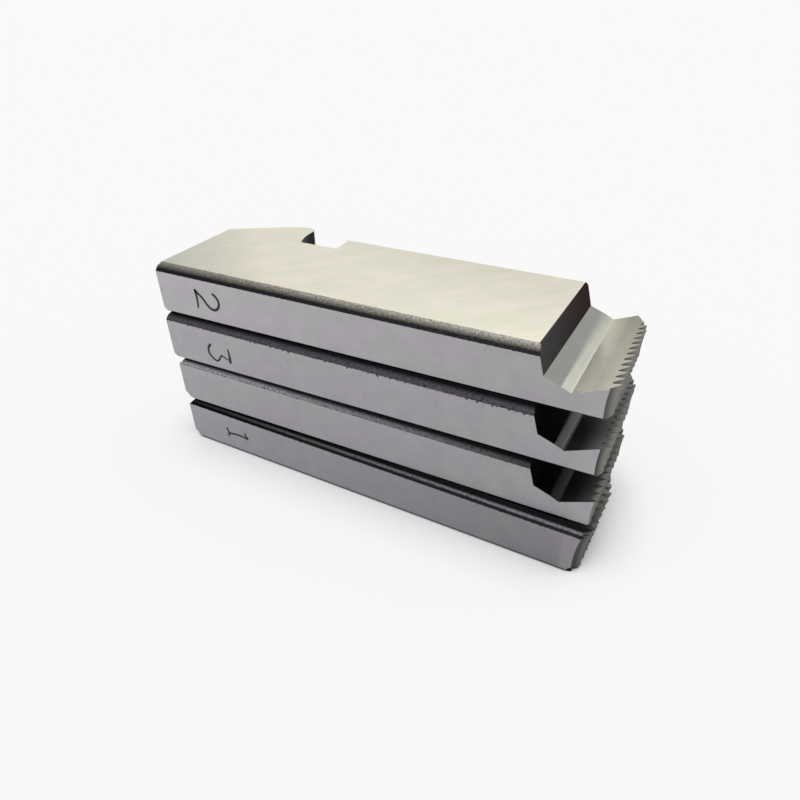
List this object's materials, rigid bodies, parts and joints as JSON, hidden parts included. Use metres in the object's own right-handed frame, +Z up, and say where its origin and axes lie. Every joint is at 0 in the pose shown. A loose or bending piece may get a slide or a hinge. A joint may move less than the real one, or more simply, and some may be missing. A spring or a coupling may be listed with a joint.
{
  "type": "threading die chaser set",
  "caption": "Matched set of flat steel thread-cutting chasers stacked on each other, each with a toothed concave end, a chip groove and a cam notch.",
  "frame": {"origin": "middle of the stack's outline, on the surface that the lowest bar rests on", "axes": "+X from the tails to the threaded ends, +Y from the numbered faces to the notched ones, +Z up"},
  "size_m": [0.098, 0.0394, 0.04],
  "materials": {
    "tool_steel": "surface-ground tool steel, dark scale left on the chamfers"
  },
  "bodies": {
    "root": {"chaser_1": "tool_steel", "chaser_2": "tool_steel", "chaser_3": "tool_steel", "chaser_4": "tool_steel"}
  },
  "joints": []
}
